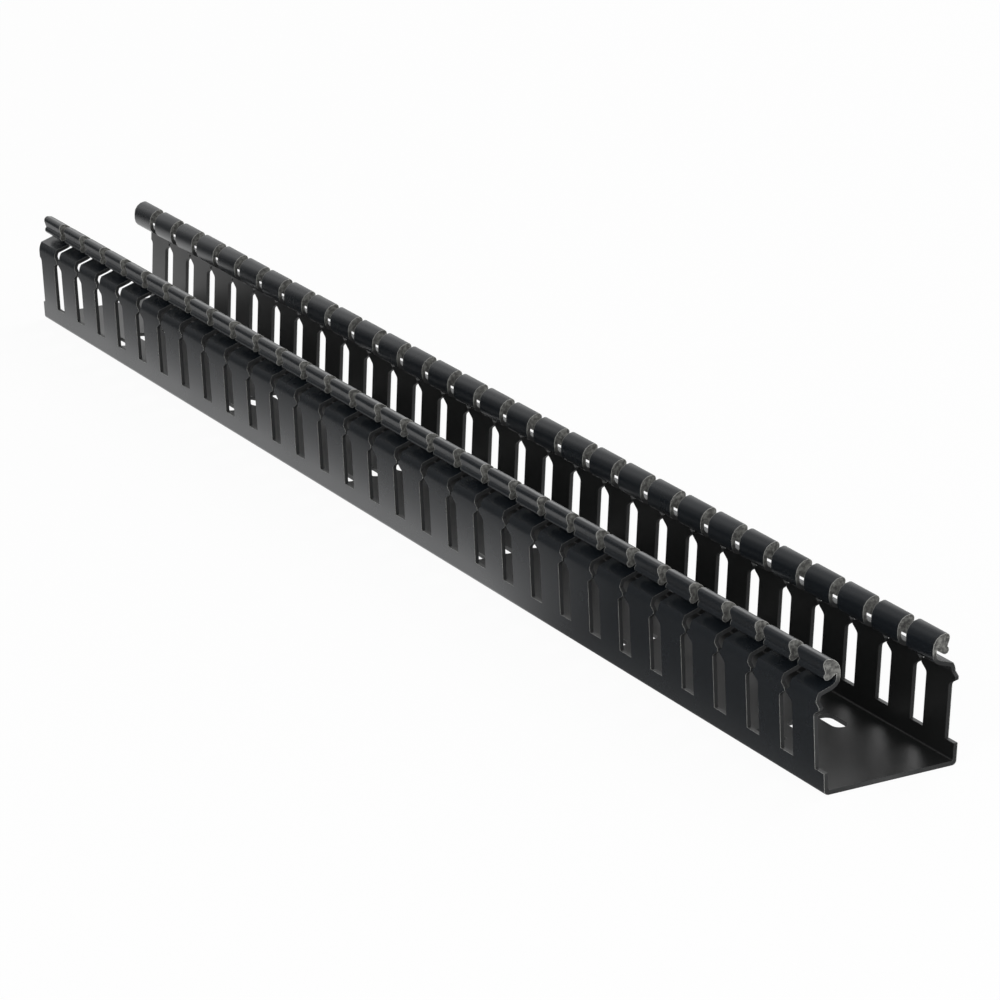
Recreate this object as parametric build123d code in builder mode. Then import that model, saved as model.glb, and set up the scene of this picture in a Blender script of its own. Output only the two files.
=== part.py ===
from build123d import *
from math import ceil, cos, radians, sin, tan
import os

# A slotted wiring duct body: one rigid PVC extrusion, sawn to length, with its
# side walls slotted into fingers and its floor punched for screws.
# Millimetres. X runs along the duct, Z is up, and the origin lies on the
# underside, at the middle of the length and of the floor's width.

# Length and floor
length = 374.5
floor_width = 32.0
floor_thickness = 1.0
corner_radius = 1.0
inside_radius = 0.5

# Side walls, which lean outwards as they rise, and round inwards at the shoulder
wall = 0.95
wall_lean = 2.8
shoulder_height = 19.0
shoulder_radius = 3.8
shoulder_turn = 36.8
shoulder_facets = 3
shoulder_inside_turn = 30.6
shoulder_inside_facets = 2

# Shelf that runs inwards from the shoulder, then bends up into a short stem
shelf_slope = 18.0
stem_reach = 3.9
bend_radius = 1.5
bend_facets = 3
stem_rise = 0.89

# Solid bead on the stem: a long rounded back, a roll that the cover snaps over,
# an undercut below the roll that holds the cover, and a nose at the bottom
bead_rise = 3.65
back_radius = 3.05
back_facets = 4
roll_radius = 1.05
undercut_slope = 17.0
roll_facets = 4
nose_radius = 0.9
nose_drop = 0.25
nose_first = 56.0
nose_turn = 178.0
nose_facets = 5

# Wire slots, with a bottle neck that keeps the wires in
slot_pitch = 12.5
slot_width = 4.65
slot_sill = 4.75
taper_start = 16.1
taper_radius = 1.0
taper_turn = 56.0
taper_facets = 3
neck_gap = 0.7
neck_bottom = 17.95
neck_top = 18.6
mouth_gap = 3.0
mouth_height = 19.45
slot_shift = -1.15

# Oblong screw holes punched through the floor
screw_slot_length = 8.2
screw_slot_width = 3.6
screw_slot_pitch = 62.5
screw_row_spacing = 7.55
screw_rows = 3
screw_row_shift = -1.35
screw_slot_shift = 0.75

# Room that each cutting shape has beyond the surface it cuts
cut_over = 2.0

half_floor = floor_width / 2
lean = tan(radians(wall_lean))
rise = tan(radians(shelf_slope))
stem_outside = half_floor - stem_reach
stem_inside = stem_outside - wall


def wall_outside(z):
    return half_floor + lean * z


def flat_facets(middle, height, radius, first, turn, facets):
    angles = [radians(first + turn * step / facets) for step in range(facets + 1)]
    return [(middle + radius * cos(angle), height + radius * sin(angle)) for angle in angles]


# The roundings that every slot cuts are flat facets, and keep the many cut ends light
around = wall_outside(shoulder_height) - shoulder_radius * cos(radians(wall_lean))
level = shoulder_height + shoulder_radius * sin(radians(wall_lean))
shoulder_outside = flat_facets(around, level, shoulder_radius, -wall_lean, shoulder_turn, shoulder_facets)
shoulder_inside = flat_facets(
    around, level, shoulder_radius - wall, shoulder_inside_turn - wall_lean, -shoulder_inside_turn,
    shoulder_inside_facets,
)
shelf_start, shelf_height = shoulder_outside[-1]

bend_middle = stem_outside + bend_radius
bend_height = shelf_height + rise * (shelf_start - bend_middle) + bend_radius / cos(radians(shelf_slope))
bend_turn = 90 - shelf_slope
bend_outside = flat_facets(bend_middle, bend_height, bend_radius, 180 + bend_turn, -bend_turn, bend_facets)
bend_inside = flat_facets(bend_middle, bend_height, bend_radius + wall, 180, bend_turn, bend_facets)

# The bead is built up from the bend, and its top is the height of the whole duct, 28.05 mm
underside_height = bend_height + stem_rise
nose_height = underside_height - nose_drop
bead_height = nose_height + bead_rise
widest = wall_outside(bead_height)
bead_middle = stem_inside + back_radius
nose = flat_facets(bead_middle, nose_height, nose_radius, nose_first - nose_turn, nose_turn, nose_facets)
roll = flat_facets(
    bead_middle, bead_height - roll_radius, roll_radius, -undercut_slope, 90 + undercut_slope, roll_facets,
)
back = flat_facets(bead_middle, bead_height - back_radius, back_radius, 90, 90, back_facets)

# The half section runs out along the underside, up the outside, over the bead and down the inside
half_section = [
    (0, 0), (half_floor, 0),
    *shoulder_outside,
    *bend_outside, (stem_outside, underside_height),
    *nose, *roll, *back[1:],
    *bend_inside,
    *shoulder_inside,
    (wall_outside(floor_thickness) - wall, floor_thickness), (0, floor_thickness),
]
corner_radii = {1: corner_radius, len(half_section) - 2: inside_radius}

# Extruded section: a flat floor, two leaning walls, and a solid bead on a stem
with BuildSketch(Plane.YZ) as half_shell:
    with BuildLine():
        FilletPolyline(
            *half_section,
            radius=[corner_radii.get(step, 0) for step in range(len(half_section))],
            close=True,
        )
    make_face()

# One wire slot, seen from the side: a square sill, a taper, a neck and a mouth
slot_side = [
    (slot_width / 2, slot_sill),
    *flat_facets(slot_width / 2 - taper_radius, taper_start, taper_radius, 0, taper_turn, taper_facets),
    (neck_gap / 2, neck_bottom),
    (neck_gap / 2, neck_top),
    (mouth_gap / 2, mouth_height),
    (mouth_gap / 2, bead_height + cut_over),
]

with BuildSketch() as wire_slot:
    with BuildLine():
        Polyline(*slot_side, *[(-x, z) for x, z in reversed(slot_side)], close=True)
    make_face()

slots_each_way = ceil(length / 2 / slot_pitch)
slot_count = 2 * slots_each_way + 1
last_slot = slot_pitch * slots_each_way
slot_depth = bead_height + cut_over - slot_sill
crumb_side = {-1: Align.MAX, 1: Align.MIN}
screw_columns = 2 * int(length / 2 / screw_slot_pitch + 0.5)

with BuildPart() as duct_body:
    with BuildSketch(Plane.YZ.offset(-length / 2)):
        add(half_shell.sketch_local)
    extrude(amount=length)

    # The saw leaves crumbs past the neck of an outermost slot, and they fall away
    with BuildSketch(Plane.XZ):
        with Locations((slot_shift, 0)):
            with GridLocations(slot_pitch, slot_pitch, slot_count, 1):
                add(wire_slot.sketch)
        for side in (-1, 1):
            with Locations((slot_shift + side * last_slot, slot_sill)):
                Rectangle(slot_width / 2, slot_depth, align=(crumb_side[side], Align.MIN))
    extrude(amount=-widest - cut_over, mode=Mode.SUBTRACT)
    mirror(about=Plane.XZ)

    with BuildSketch(Plane.XY):
        with Locations((screw_slot_shift, screw_row_shift)):
            with GridLocations(screw_slot_pitch, screw_row_spacing, screw_columns, screw_rows):
                SlotOverall(screw_slot_length, screw_slot_width)
    extrude(amount=floor_thickness, mode=Mode.SUBTRACT)

duct_body.part.label = "duct_body"
os.makedirs("parts", exist_ok=True)
export_step(duct_body.part, "parts/duct_body.step")
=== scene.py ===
# %% [markdown]
# A slotted wiring duct body: one length of black rigid PVC with two rows of fingers.
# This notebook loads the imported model, gives it its finishes, and lights and frames it.
# The whole object is one extrusion, so there is one piece to dress, and the work goes
# into its surfaces: the smooth skin from the die, and the paler faces left by saw and punch.

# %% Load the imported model
import math

import bpy
from mathutils import Matrix, Vector


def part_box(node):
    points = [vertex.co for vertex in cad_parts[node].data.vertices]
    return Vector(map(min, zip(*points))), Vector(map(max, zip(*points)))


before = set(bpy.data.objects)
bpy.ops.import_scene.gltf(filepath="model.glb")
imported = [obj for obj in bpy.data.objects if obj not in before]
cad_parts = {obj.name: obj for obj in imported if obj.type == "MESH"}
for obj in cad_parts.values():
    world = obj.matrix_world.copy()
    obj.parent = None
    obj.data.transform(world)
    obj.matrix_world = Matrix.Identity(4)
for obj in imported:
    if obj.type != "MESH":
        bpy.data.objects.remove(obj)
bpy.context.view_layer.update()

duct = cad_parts["duct_body"]
mesh = duct.data
low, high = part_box("duct_body")
print("duct", [round((high[i] - low[i]) * 1000, 2) for i in range(3)], "mm")

# %% [markdown]
# The finishes change at certain places on the duct, such as the sills of the slots and the
# foot of the beads. They could be measured on the mesh, but a name says more than a number,
# so each place is named once here, in metres, as it is on the real duct.

# %% Places on the duct
slot_pitch = 0.0125
slot_shift = -0.00115
slot_mouth_half = 0.0015
floor_half = 0.016
floor_top = 0.001
screw_rows_half = 0.0135
sill_height = 0.00475
wall_middle = 0.0155
wall_slope = math.tan(math.radians(2.8))
inside_low = 0.0009
inside_high = 0.0212
shoulder_low = 0.0195
shoulder_high = 0.0205
stem_foot = 0.0225
bead_foot = 0.0235
bead_full = 0.0245
print("a slot every", slot_pitch * 1000, "mm, and beads from", bead_foot * 1000, "mm up")

# %% [markdown]
# The camera stands where the photograph was taken from: a long lens more than a metre away,
# about 60 degrees round from square on, and 19 degrees above the floor. Its heading and rise
# give the direction it looks in, and from that follow its own right and up.

# %% Camera place and aim
camera_place = Vector((0.87601, -0.48318, 0.35598))
camera_heading = math.radians(60.287)
camera_rise = math.radians(19.458)

forward = Vector((
    -math.sin(camera_heading) * math.cos(camera_rise),
    math.cos(camera_heading) * math.cos(camera_rise),
    -math.sin(camera_rise),
))
right = forward.cross(Vector((0, 0, 1))).normalized()
up = right.cross(forward)
print("camera", round(camera_place.length, 3), "m from the duct's middle")

# %% [markdown]
# The camera could be aimed with a constraint, but a matrix also keeps the small roll of the
# picture, so that is used. The lens is long, which keeps the two rows of fingers nearly parallel.

# %% Camera
camera_roll = math.radians(-0.246)
camera_x = right * math.cos(camera_roll) + up * math.sin(camera_roll)
camera_y = up * math.cos(camera_roll) - right * math.sin(camera_roll)
camera_turn = Matrix((camera_x, camera_y, -forward)).transposed().to_4x4()

camera_data = bpy.data.cameras.new("camera")
camera_data.lens = 162.78
camera_data.sensor_width = 36
camera_data.clip_start = 0.01
camera = bpy.data.objects.new("camera", camera_data)
camera.matrix_world = Matrix.Translation(camera_place) @ camera_turn
bpy.context.scene.collection.objects.link(camera)
bpy.context.scene.camera = camera
bpy.context.scene.view_settings.view_transform = "Standard"
print("lens", camera_data.lens, "mm")

# %% [markdown]
# Two helpers turn what can be measured on the real object into what a shader wants: a colour
# in hex into linear values, and the size of a pattern in millimetres into a noise scale.

# %% Colour and scale helpers
def linear(hex_colour):
    """A colour such as #1c1d1e as linear red, green, blue and alpha."""
    parts = [int(hex_colour[i:i + 2], 16) / 255 for i in (1, 3, 5)]
    return [p / 12.92 if p <= 0.04045 else ((p + 0.055) / 1.055) ** 2.4 for p in parts] + [1.0]


def per_metre(size_mm):
    """The scale at which a noise draws patches of that size."""
    return 1000 / size_mm


print("near-black in linear values", [round(part, 4) for part in linear("#161a1e")])

# %% [markdown]
# Nodes could be added one statement at a time, but then a material runs over many lines. The
# function below adds one node with its settings and its links, so each step reads as one thing.

# %% Material and node helpers
def new_material(name):
    """A material without nodes, and its node tree."""
    material = bpy.data.materials.new(name)
    material.use_nodes = True
    material.node_tree.nodes.clear()
    return material, material.node_tree


def add_node(tree, kind, inputs=None, **settings):
    """One node. A socket's value is a constant, or another node's output that is linked to it."""
    node = tree.nodes.new(kind)
    for name, value in settings.items():
        setattr(node, name, value)
    for name, value in (inputs or {}).items():
        if isinstance(value, bpy.types.NodeSocket):
            tree.links.new(value, node.inputs[name])
        else:
            node.inputs[name].default_value = value
    return node


# %% [markdown]
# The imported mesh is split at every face, so its edges come in doubles that share a place but no
# points. To tell which are sharp, each place has to know the faces that meet there. Points are
# compared in tenths of a micrometre, which is far finer than any facet.

# %% Faces that meet at each edge
def edge_key(vertices):
    """The same key for an edge and its doubles, whichever way round they run."""
    return frozenset(tuple(round(c * 1e7) for c in mesh.vertices[v].co) for v in vertices)


normals_at_edge = {}
for face in mesh.polygons:
    corners = list(face.vertices)
    for ends in zip(corners, corners[1:] + corners[:1]):
        normals_at_edge.setdefault(edge_key(ends), []).append(face.normal.copy())
print(len(mesh.polygons), "faces meet at", len(normals_at_edge), "edges")

# %% [markdown]
# The roundings of the real duct are narrow facets here. Welding the doubled points in a modifier
# leaves the mesh itself as it is. Edges sharper than 38 degrees stay sharp, as a sawn edge is,
# and weighted normals keep the broad walls flat and round only the narrow facets.

# %% Smooth facets and sharp cut edges
sharp_angle = math.radians(38)

if "custom_normal" in mesh.attributes:
    mesh.attributes.remove(mesh.attributes["custom_normal"])
sharp_edges = 0
for edge in mesh.edges:
    normals = normals_at_edge[edge_key(edge.vertices)]
    edge.use_edge_sharp = len(normals) != 2 or normals[0].angle(normals[1]) > sharp_angle
    sharp_edges += edge.use_edge_sharp
mesh.polygons.foreach_set("use_smooth", [True] * len(mesh.polygons))

weld = duct.modifiers.new("weld", "WELD")
weld.merge_threshold = 0.000002
weighted = duct.modifiers.new("weighted_normals", "WEIGHTED_NORMAL")
weighted.keep_sharp = True
weighted.weight = 80
print(sharp_edges, "sharp edges")

# %% [markdown]
# Skin: rigid PVC, coloured through with carbon black and extruded through a polished die. The
# die leaves very faint lines along the length, about 0.36 mm wide and 80 mm long, and the plastic
# has a grain of 0.25 mm. Both could be geometry, but they are a hundredth of a millimetre deep,
# so each is a noise that drives a shallow bump.

# %% Die lines and grain
line_scale = (per_metre(80), per_metre(0.36), per_metre(0.36))
grain_scale = per_metre(0.25)


def die_relief(tree, place):
    """The normal of a skin with faint lines along the duct and a fine grain."""
    stretched = add_node(tree, "ShaderNodeMapping", {"Vector": place, "Scale": line_scale})
    lines = add_node(tree, "ShaderNodeTexNoise", {
        "Vector": stretched.outputs[0], "Scale": 1.0, "Detail": 3.0, "Roughness": 0.6,
    })
    grain = add_node(tree, "ShaderNodeTexNoise", {
        "Vector": place, "Scale": grain_scale, "Detail": 2.0, "Roughness": 0.5,
    })
    line_bump = add_node(tree, "ShaderNodeBump", {
        "Height": lines.outputs["Fac"], "Strength": 0.25, "Distance": 0.00001,
    })
    grain_bump = add_node(tree, "ShaderNodeBump", {
        "Height": grain.outputs["Fac"], "Strength": 0.12, "Distance": 0.000012,
        "Normal": line_bump.outputs["Normal"],
    })
    return grain_bump.outputs["Normal"]


print("die lines at scale", [round(scale) for scale in line_scale], "and grain at", grain_scale)

# %% [markdown]
# Rigid PVC goes pale where it is stressed, so each bead has a whitened rim where the cutter went
# through it. It could be painted on the mesh, but the slots repeat, so a ping-pong of X gives
# the distance from the nearest slot, and the rim is the strip of skin beside the slot's mouth.

# %% Whitened rims of the beads
rim_width = 0.0002
rim_full = 0.00005


def bead_rim(tree, place):
    """How white the skin is beside a slot, up on the beads only."""
    axes = add_node(tree, "ShaderNodeSeparateXYZ", {"Vector": place})
    from_first = add_node(tree, "ShaderNodeMath", {
        0: axes.outputs["X"], 1: slot_shift,
    }, operation="SUBTRACT")
    from_slot = add_node(tree, "ShaderNodeMath", {
        0: from_first.outputs[0], 1: slot_pitch / 2,
    }, operation="PINGPONG")
    at_cut = add_node(tree, "ShaderNodeMapRange", {
        "Value": from_slot.outputs[0],
        "From Min": slot_mouth_half + rim_width, "From Max": slot_mouth_half + rim_full,
    })
    on_bead = add_node(tree, "ShaderNodeMapRange", {
        "Value": axes.outputs["Z"], "From Min": bead_foot, "From Max": bead_full, "To Max": 0.7,
    })
    return add_node(tree, "ShaderNodeMath", {
        0: at_cut.outputs["Result"], 1: on_bead.outputs["Result"],
    }, operation="MULTIPLY").outputs[0]


print("rims", rim_width * 1000, "mm wide")

# %% [markdown]
# Almost all that the eye sees of black plastic is what it mirrors, so its gloss matters more
# than its colour. Cloudy patches of 20 mm, where handling has dulled it, vary both a little. The
# index of refraction is that of PVC, 1.53. One function makes any skin from the same recipe.

# %% Extruded black PVC
def extruded_skin(name, dark, light, gloss_low, gloss_high, mirror):
    """A skin between two near-black colours and two roughnesses, with a specular level."""
    material, tree = new_material(name)
    place = add_node(tree, "ShaderNodeNewGeometry").outputs["Position"]
    clouds = add_node(tree, "ShaderNodeTexNoise", {
        "Vector": place, "Scale": per_metre(20), "Detail": 4.0, "Roughness": 0.55,
    }).outputs["Fac"]
    body = add_node(tree, "ShaderNodeMix", {
        "Factor": clouds, "A": linear(dark), "B": linear(light),
    }, data_type="RGBA")
    colour = add_node(tree, "ShaderNodeMix", {
        "Factor": bead_rim(tree, place), "A": body.outputs["Result"], "B": linear("#8c8c88"),
    }, data_type="RGBA")
    gloss = add_node(tree, "ShaderNodeMapRange", {
        "Value": clouds, "From Min": 0.3, "From Max": 0.7, "To Min": gloss_low, "To Max": gloss_high,
    })
    surface = add_node(tree, "ShaderNodeBsdfPrincipled", {
        "Base Color": colour.outputs["Result"], "Roughness": gloss.outputs["Result"],
        "IOR": 1.53, "Specular IOR Level": mirror, "Normal": die_relief(tree, place),
    })
    add_node(tree, "ShaderNodeOutputMaterial", {"Surface": surface.outputs["BSDF"]})
    print("material", name, "with", len(tree.nodes), "nodes")
    return material


# %% [markdown]
# The outside of the duct cools against a polished calibrator and comes out a satin gloss, and its
# colour is set very slightly blue. The inside cools in free air, which leaves it duller; its colour is a
# plainer black.

# %% Outer and inner skin
outer_skin = extruded_skin("rigid_pvc_outer_skin", "#161a1e", "#1c2126", 0.22, 0.3, 0.68)
inner_skin = extruded_skin("rigid_pvc_inner_skin", "#131414", "#1a1b1b", 0.34, 0.42, 0.6)

# %% [markdown]
# Cut faces: the same PVC where the slotting cutter, the punch and the saw went through. The thin
# walls are cut clean and stay dark. The thick beads tear a little, so their ends are paler, with
# whitish spots of 0.8 mm where the plastic was stressed. A noise places the spots.

# %% Colour of a cut face
spot_scale = per_metre(0.769)


def cut_colour(tree, place, on_bead):
    """Clean dark plastic on the walls, and torn, spotted plastic on the beads."""
    spots = add_node(tree, "ShaderNodeTexNoise", {
        "Vector": place, "Scale": spot_scale, "Detail": 3.0, "Roughness": 0.6,
    }).outputs["Fac"]
    pale_spots = add_node(tree, "ShaderNodeMapRange", {"Value": spots, "From Min": 0.4, "From Max": 0.7})
    torn = add_node(tree, "ShaderNodeMix", {
        "Factor": pale_spots.outputs["Result"], "A": linear("#40403e"), "B": linear("#82827e"),
    }, data_type="RGBA")
    clean = add_node(tree, "ShaderNodeMix", {
        "Factor": spots, "A": linear("#1e1f20"), "B": linear("#2c2d2d"),
    }, data_type="RGBA")
    return add_node(tree, "ShaderNodeMix", {
        "Factor": on_bead, "A": clean.outputs["Result"], "B": torn.outputs["Result"],
    }, data_type="RGBA").outputs["Result"]


print("torn spots at scale", round(spot_scale))

# %% [markdown]
# Every cut has a pale rim, 0.2 mm wide: partly whitening of the stressed plastic, and partly a
# painted highlight along the edge. It could be modelled, but a bevel node finds it: it gives the
# normal of a rounded edge, and the rim is where that normal turns away from the flat face.

# %% Rim of a cut face
bevel_radius = 0.00025


def cut_rim(tree, rounded, flat):
    """1 at the very edge of a cut face, falling to 0 within the radius of the bevel."""
    turned = add_node(tree, "ShaderNodeVectorMath", {0: rounded, 1: flat}, operation="DOT_PRODUCT")
    return add_node(tree, "ShaderNodeMapRange", {
        "Value": turned.outputs["Value"], "From Min": 0.98, "From Max": 0.86,
    }).outputs["Result"]


print("bevel", bevel_radius * 1000, "mm")

# %% [markdown]
# The pale rim is partly whitening and partly a painted highlight: on the walls it is painted on the
# outer edges only, and weaker from the shoulder up; on the beads on every edge. The outer edge is the one
# whose rounded normal leans away from the duct's middle, which the sign of Y tells on both sides.

# %% Which rims are pale, as whitening and painted highlight
def pale_edges_and_highlight(tree, axes, rounded, on_bead):
    """1 on the beads and on the outer edges of the walls, 0 on their inner edges."""
    side = add_node(tree, "ShaderNodeMath", {0: axes.outputs["Y"]}, operation="SIGN")
    lean = add_node(tree, "ShaderNodeSeparateXYZ", {"Vector": rounded}).outputs["Y"]
    outward = add_node(tree, "ShaderNodeMath", {0: lean, 1: side.outputs[0]}, operation="MULTIPLY")
    outer_edge = add_node(tree, "ShaderNodeMapRange", {
        "Value": outward.outputs[0], "From Min": 0.02, "From Max": 0.12,
    })
    # Painted highlight: the rim on the walls is weaker from the shoulder up.
    below_shelf = add_node(tree, "ShaderNodeMapRange", {
        "Value": axes.outputs["Z"], "From Min": shoulder_low, "From Max": shoulder_high,
        "To Min": 1.0, "To Max": 0.35,
    })
    wall_edge = add_node(tree, "ShaderNodeMath", {
        0: outer_edge.outputs["Result"], 1: below_shelf.outputs["Result"],
    }, operation="MULTIPLY")
    return add_node(tree, "ShaderNodeMath", {
        0: wall_edge.outputs[0], 1: on_bead,
    }, operation="MAXIMUM").outputs[0]


print("rims fade between", shoulder_low * 1000, "and", shoulder_high * 1000, "mm up")

# %% [markdown]
# The cutter leaves tear marks up the face, a third of a millimetre apart and 2 mm long, and they
# make a cut look dull. They could be scratches in the mesh, but they are only 0.03 mm deep, so a
# noise that is drawn out along the height drives a bump.

# %% Tear marks
mark_scale = (per_metre(1 / 3), per_metre(1 / 3), per_metre(2))


def tear_marks(tree, place):
    """The normal of a face with fine marks that run up it."""
    stretched = add_node(tree, "ShaderNodeMapping", {"Vector": place, "Scale": mark_scale})
    marks = add_node(tree, "ShaderNodeTexNoise", {
        "Vector": stretched.outputs[0], "Scale": 1.0, "Detail": 2.0, "Roughness": 0.6,
    })
    return add_node(tree, "ShaderNodeBump", {
        "Height": marks.outputs["Fac"], "Strength": 0.4, "Distance": 0.00003,
    }).outputs["Normal"]


print("tear marks at scale", [round(scale) for scale in mark_scale])

# %% [markdown]
# The colour, the rim and the marks go together into one material for every cut. It has the index
# of refraction of the skin, since it is the same plastic, and is rougher, since nothing smoothed it.

# %% Cut black PVC
def cut_pvc(name):
    """Rigid PVC that was sawn, slotted or punched."""
    material, tree = new_material(name)
    geometry = add_node(tree, "ShaderNodeNewGeometry")
    place = geometry.outputs["Position"]
    axes = add_node(tree, "ShaderNodeSeparateXYZ", {"Vector": place})
    on_bead = add_node(tree, "ShaderNodeMapRange", {
        "Value": axes.outputs["Z"], "From Min": stem_foot, "From Max": bead_full,
    }).outputs["Result"]
    rounded = add_node(tree, "ShaderNodeBevel", {"Radius": bevel_radius}, samples=6).outputs["Normal"]
    rim = add_node(tree, "ShaderNodeMath", {
        0: cut_rim(tree, rounded, geometry.outputs["Normal"]),
        1: pale_edges_and_highlight(tree, axes, rounded, on_bead),
    }, operation="MULTIPLY")
    # The pale rim colour is partly whitening and partly a painted highlight along the edges.
    colour = add_node(tree, "ShaderNodeMix", {
        "Factor": rim.outputs[0], "A": cut_colour(tree, place, on_bead), "B": linear("#bcbcb8"),
    }, data_type="RGBA")
    surface = add_node(tree, "ShaderNodeBsdfPrincipled", {
        "Base Color": colour.outputs["Result"], "Roughness": 0.5, "IOR": 1.53,
        "Normal": tear_marks(tree, place),
    })
    add_node(tree, "ShaderNodeOutputMaterial", {"Surface": surface.outputs["BSDF"]})
    print("material", name, "with", len(tree.nodes), "nodes")
    return material


cut_plastic = cut_pvc("rigid_pvc_cut_faces")

# %% [markdown]
# Which faces are cut? The die makes only faces that run along the duct, so any face that leans
# towards an end was cut. The sills of the slots and the flat sides of the screw holes run along
# the duct too, and are found by where they are.

# %% Tell a cut face from the skin
def is_cut(centre, normal):
    """True for a face that the cutter, the punch or the saw made."""
    towards_end = abs(normal.x) > 0.01
    on_sill = normal.z > 0.9 and abs(centre.z - sill_height) < 0.0001
    in_screw_hole = abs(normal.y) > 0.9 and centre.z < floor_top and abs(centre.y) < screw_rows_half
    return towards_end or on_sill or in_screw_hole


print(sum(is_cut(face.center, face.normal) for face in mesh.polygons), "cut faces")

# %% [markdown]
# The inside is what lies below the shelf, within the middle of the walls, and looks inwards or
# up. The walls lean outwards as they rise, so their middle moves out with the height.

# %% Tell the inside from the outside
def is_inside(centre, normal):
    """True for a face of the skin that lines the channel."""
    below_shelf = inside_low < centre.z < inside_high
    within_walls = abs(centre.y) < wall_middle + wall_slope * centre.z
    looks_in = -normal.y * math.copysign(1, centre.y)
    return below_shelf and within_walls and looks_in + normal.z * 0.3 > 0.1


print(sum(is_inside(face.center, face.normal) for face in mesh.polygons), "faces line the channel")

# %% [markdown]
# The three finishes go on the mesh as material slots, and each face gets the number of its slot.
# The duct could be split into three objects instead, but the real one is one piece of plastic.

# %% Give each face its finish
finishes = [outer_skin, cut_plastic, inner_skin]
mesh.materials.clear()
for finish in finishes:
    mesh.materials.append(finish)

for face in mesh.polygons:
    if is_cut(face.center, face.normal):
        face.material_index = finishes.index(cut_plastic)
    elif is_inside(face.center, face.normal):
        face.material_index = finishes.index(inner_skin)
print([finish.name for finish in finishes])

# %% [markdown]
# The stage is a plain white sweep of paper. Black plastic shows mostly reflections, so what
# stands round it matters more than the lamps. In the photograph the near wall mirrors a strip of
# bright paper at its foot, which dims towards the near end. A lamp could light that strip, but it
# would light the duct too, so the paper glows for mirrors only, to 0.37 of itself each 12 mm out.

# %% Pool of light beside the walls
pool_width = 0.0122


def side_pool(tree, axes):
    """How bright the paper beside the duct is in its mirror image."""
    beside = add_node(tree, "ShaderNodeMath", {0: axes.outputs["Y"]}, operation="ABSOLUTE")
    widths_out = add_node(tree, "ShaderNodeMapRange", {
        "Value": beside.outputs[0], "From Min": floor_half, "From Max": floor_half + pool_width,
    }, clamp=False)
    fading = add_node(tree, "ShaderNodeMath", {0: 0.37, 1: widths_out.outputs[0]}, operation="POWER")
    along = add_node(tree, "ShaderNodeMapRange", {
        "Value": axes.outputs["X"], "From Min": 0.02, "From Max": 0.1, "To Min": 1.5, "To Max": 0.25,
    }, interpolation_type="SMOOTHERSTEP")
    return add_node(tree, "ShaderNodeMath", {
        0: fading.outputs[0], 1: along.outputs[0],
    }, operation="MULTIPLY").outputs[0]


print("pool", round(pool_width * 1000, 1), "mm wide")

# %% [markdown]
# A second pool lies round the far end, where the paper shines in between the walls. It lights the
# inside of the far wall, and stops short of the strip of paper that the beads above it mirror.

# %% Pool of light at the far end
end_middle = (-0.195, 0, 0)


def end_pool(tree, place, axes):
    """How bright the paper at the far end is in its mirror image."""
    from_end = add_node(tree, "ShaderNodeVectorMath", {0: place, 1: end_middle}, operation="DISTANCE")
    round_end = add_node(tree, "ShaderNodeMapRange", {
        "Value": from_end.outputs["Value"], "From Min": 0.035, "From Max": 0.07,
        "To Min": 1.0, "To Max": 0.1,
    }, interpolation_type="SMOOTHSTEP")
    between_walls = add_node(tree, "ShaderNodeMapRange", {
        "Value": axes.outputs["Y"], "From Min": -0.022, "From Max": -0.014, "To Min": 0.1, "To Max": 1.0,
    })
    return add_node(tree, "ShaderNodeMath", {
        0: round_end.outputs[0], 1: between_walls.outputs[0],
    }, operation="MINIMUM").outputs[0]


print("end pool", round((low[0] - end_middle[0]) * 1000, 2), "mm past the sawn end")

# %% [markdown]
# The paper is matt white to the light that falls on it, so it keeps the duct's shadow. The camera
# sees it as nearly plain white, and a mirroring surface sees the two pools. Which one a ray gets
# is chosen by the Light Path node.

# %% White paper
def paper_sweep(name):
    """Matt paper that is white to the camera and shows its pools of light to mirrors."""
    material, tree = new_material(name)
    rays = add_node(tree, "ShaderNodeLightPath")
    place = add_node(tree, "ShaderNodeNewGeometry").outputs["Position"]
    axes = add_node(tree, "ShaderNodeSeparateXYZ", {"Vector": place})
    pools = add_node(tree, "ShaderNodeMath", {
        0: side_pool(tree, axes), 1: end_pool(tree, place, axes),
    }, operation="MAXIMUM")
    at_most_white = add_node(tree, "ShaderNodeMath", {0: pools.outputs[0], 1: 1.0}, operation="MINIMUM")
    matt = add_node(tree, "ShaderNodeBsdfDiffuse", {"Color": linear("#f2f2f2")})
    glow = add_node(tree, "ShaderNodeEmission", {
        "Color": (1, 1, 1, 1), "Strength": at_most_white.outputs[0],
    })
    white = add_node(tree, "ShaderNodeEmission", {"Color": (1, 1, 1, 1), "Strength": 1.0})
    mirrored = add_node(tree, "ShaderNodeMixShader", {
        0: rays.outputs["Is Glossy Ray"], 1: matt.outputs[0], 2: glow.outputs[0],
    })
    seen = add_node(tree, "ShaderNodeMath", {
        0: rays.outputs["Is Camera Ray"], 1: 0.95,
    }, operation="MULTIPLY")
    mixed = add_node(tree, "ShaderNodeMixShader", {
        0: seen.outputs[0], 1: mirrored.outputs[0], 2: white.outputs[0],
    })
    add_node(tree, "ShaderNodeOutputMaterial", {"Surface": mixed.outputs[0]})
    return material


paper = paper_sweep("white_paper_sweep")
print("material", paper.name)

# %% [markdown]
# The floor is one plane, wide enough that its edge is never in the picture. It is the ground that
# the duct lies on, and it is only a stage.

# %% Floor
floor_size = 8
floor_reach = floor_size / 2
floor_corners = [(x * floor_reach, y * floor_reach, 0) for x, y in ((-1, -1), (1, -1), (1, 1), (-1, 1))]

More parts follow.
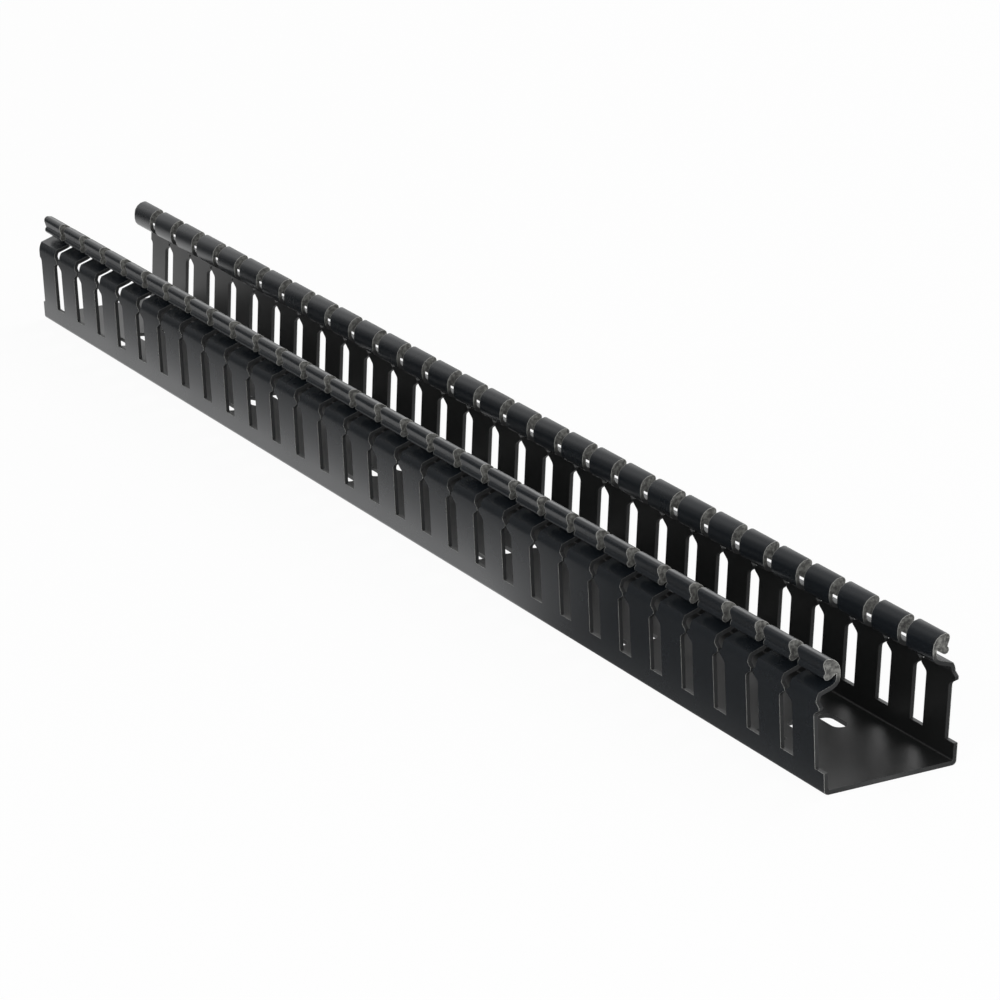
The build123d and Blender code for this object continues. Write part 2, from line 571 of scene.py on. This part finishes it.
floor_mesh = bpy.data.meshes.new("floor")
floor_mesh.from_pydata(floor_corners, [], [(0, 1, 2, 3)])
floor_mesh.materials.append(paper)
floor = bpy.data.objects.new("floor", floor_mesh)
bpy.context.scene.collection.objects.link(floor)
print("floor", floor_size, "m wide")

# %% [markdown]
# The room is drawn by direction only. A white backdrop stands behind the duct and round its far
# end, and the room is dim in front, so that faces turned to the camera stay black.

# %% Backdrop
backdrop_side = Vector((-0.4, 0.9, 0.1))


def backdrop(tree, direction):
    """Pale behind the duct, and dim on the camera's side."""
    facing = add_node(tree, "ShaderNodeVectorMath", {
        0: direction, 1: backdrop_side,
    }, operation="DOT_PRODUCT")
    return add_node(tree, "ShaderNodeMapRange", {
        "Value": facing.outputs["Value"], "From Min": -0.13, "From Max": 0.3,
        "To Min": 0.1, "To Max": 1.0,
    }, interpolation_type="SMOOTHSTEP").outputs[0]


print("backdrop", round(math.degrees(backdrop_side.angle(forward))), "degrees off the camera's aim")

# %% [markdown]
# A pale wall past the near end lights the cut ends of the beads. They could have a lamp of their
# own, but no skin mirrors this side in the picture, so a wall does it without a hot spot.

# %% Wall past the near end
near_side = Vector((0.95, -0.1, 0.3))


def near_wall(tree, direction):
    """Pale past the end that is nearest to the camera."""
    facing = add_node(tree, "ShaderNodeVectorMath", {
        0: direction, 1: near_side,
    }, operation="DOT_PRODUCT")
    return add_node(tree, "ShaderNodeMapRange", {
        "Value": facing.outputs["Value"], "From Min": 0.1, "From Max": 0.7,
        "To Min": 0.0, "To Max": 0.75,
    }, interpolation_type="SMOOTHSTEP").outputs[0]


print("near wall", round(math.degrees(near_side.angle(forward))), "degrees off the camera's aim")

# %% [markdown]
# The dark ceiling keeps the tops of the fingers black. Then the world takes the brighter of the
# two walls, dims it towards the ceiling, and shows the camera plain white.

# %% World
world = bpy.data.worlds.new("studio")
bpy.context.scene.world = world
world.use_nodes = True
tree = world.node_tree
tree.nodes.clear()

direction = add_node(tree, "ShaderNodeTexCoord").outputs["Generated"]
height = add_node(tree, "ShaderNodeSeparateXYZ", {"Vector": direction}).outputs["Z"]
ceiling = add_node(tree, "ShaderNodeMapRange", {
    "Value": height, "From Min": 0.4, "From Max": 0.72, "To Min": 1.0, "To Max": 0.15,
}, interpolation_type="SMOOTHSTEP")
walls = add_node(tree, "ShaderNodeMath", {
    0: backdrop(tree, direction), 1: near_wall(tree, direction),
}, operation="MAXIMUM")
room = add_node(tree, "ShaderNodeMath", {0: walls.outputs[0], 1: ceiling.outputs[0]}, operation="MULTIPLY")
ambient = add_node(tree, "ShaderNodeBackground", {"Color": (1, 1, 1, 1), "Strength": room.outputs[0]})
white = add_node(tree, "ShaderNodeBackground", {"Color": (1, 1, 1, 1), "Strength": 1.0})
rays = add_node(tree, "ShaderNodeLightPath")
mixed = add_node(tree, "ShaderNodeMixShader", {
    0: rays.outputs["Is Camera Ray"], 1: ambient.outputs[0], 2: white.outputs[0],
})
add_node(tree, "ShaderNodeOutputWorld", {"Surface": mixed.outputs[0]})
print("world with", len(tree.nodes), "nodes")

# %% [markdown]
# Three large softboxes give a plain, soft light. Bare bulbs could do it, but they would leave hot
# spots on the gloss. As the camera sees it, the key stands behind on the right, the fill in front
# on the left, and a weak one shines on the sawn end that is nearest.

# %% Lamps
def add_softbox(name, size, place, aim, watts):
    """A square lamp of that size, aimed at a point."""
    data = bpy.data.lights.new(name, "AREA")
    data.shape = "SQUARE"
    data.size = size
    data.energy = watts
    lamp = bpy.data.objects.new(name, data)
    lamp.location = place
    lamp.rotation_euler = (Vector(place) - Vector(aim)).to_track_quat("Z", "Y").to_euler()
    bpy.context.scene.collection.objects.link(lamp)
    return lamp


softboxes = [
    add_softbox("key_softbox", 0.7, (-0.5, 0.9, 1.1), (0, 0, 0), 8.0),
    add_softbox("fill_softbox", 0.8, (0.6, -1.1, 0.8), (0, 0, 0), 8.0),
    add_softbox("end_softbox", 0.5, (0.8, 0.05, 0.4), (0.1, 0, 0.02), 2.2),
]
print(len(softboxes), "lamps")
